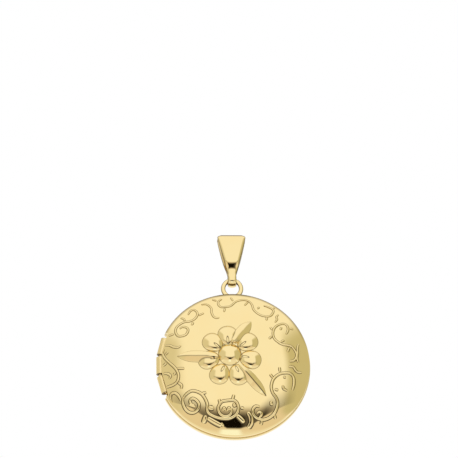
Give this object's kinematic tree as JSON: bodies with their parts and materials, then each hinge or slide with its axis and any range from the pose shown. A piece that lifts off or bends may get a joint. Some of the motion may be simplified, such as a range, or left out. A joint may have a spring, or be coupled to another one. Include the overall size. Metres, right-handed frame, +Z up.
{
  "type": "locket",
  "caption": "Round gold locket with an embossed flower, hinged domed leaves with picture frames inside, a snap latch and a tapered bail for a chain.",
  "frame": {"origin": "where a chain rests under the crown of the bail, in the middle of the strap", "axes": "hanging pose, shut: +Z up to the chain, +X to the right seen from the front, front cover facing -Y"},
  "size_m": [0.0271, 0.0073, 0.0386],
  "materials": {
    "polished_gold": "polished gold plate on brass",
    "satin_gold": "soft satin gold plate on brass",
    "hinge_gold": "drawn gold-plated brass tube and wire"
  },
  "bodies": {
    "bail": {"bail": "polished_gold"},
    "back_leaf": {"back_cover": "polished_gold", "back_frame": "satin_gold", "upper_knuckle": "hinge_gold", "lower_knuckle": "hinge_gold", "hinge_pin": "hinge_gold"},
    "front_leaf": {"front_cover": "polished_gold", "front_frame": "satin_gold", "front_knuckle": "hinge_gold"},
    "latch": {"latch_tongue": "satin_gold"}
  },
  "joints": [
    {"name": "bail_swing", "type": "hinge", "parent": "bail", "child": "back_leaf", "pos_m": [0, 0, -0.00824], "axis": [1, 0, 0], "range_deg": [-90, 90]},
    {"name": "leaf_hinge", "type": "hinge", "parent": "back_leaf", "child": "front_leaf", "pos_m": [-0.0128, -0.0005, -0.02473], "axis": [0, 0, -1], "range_deg": [0, 165]},
    {"name": "latch_flex", "type": "hinge", "parent": "back_leaf", "child": "latch", "pos_m": [0.01057, 0.0003, -0.02473], "axis": [0, 0, 1], "range_deg": [0, 6], "stiffness_Nm_per_rad": 0.001}
  ]
}
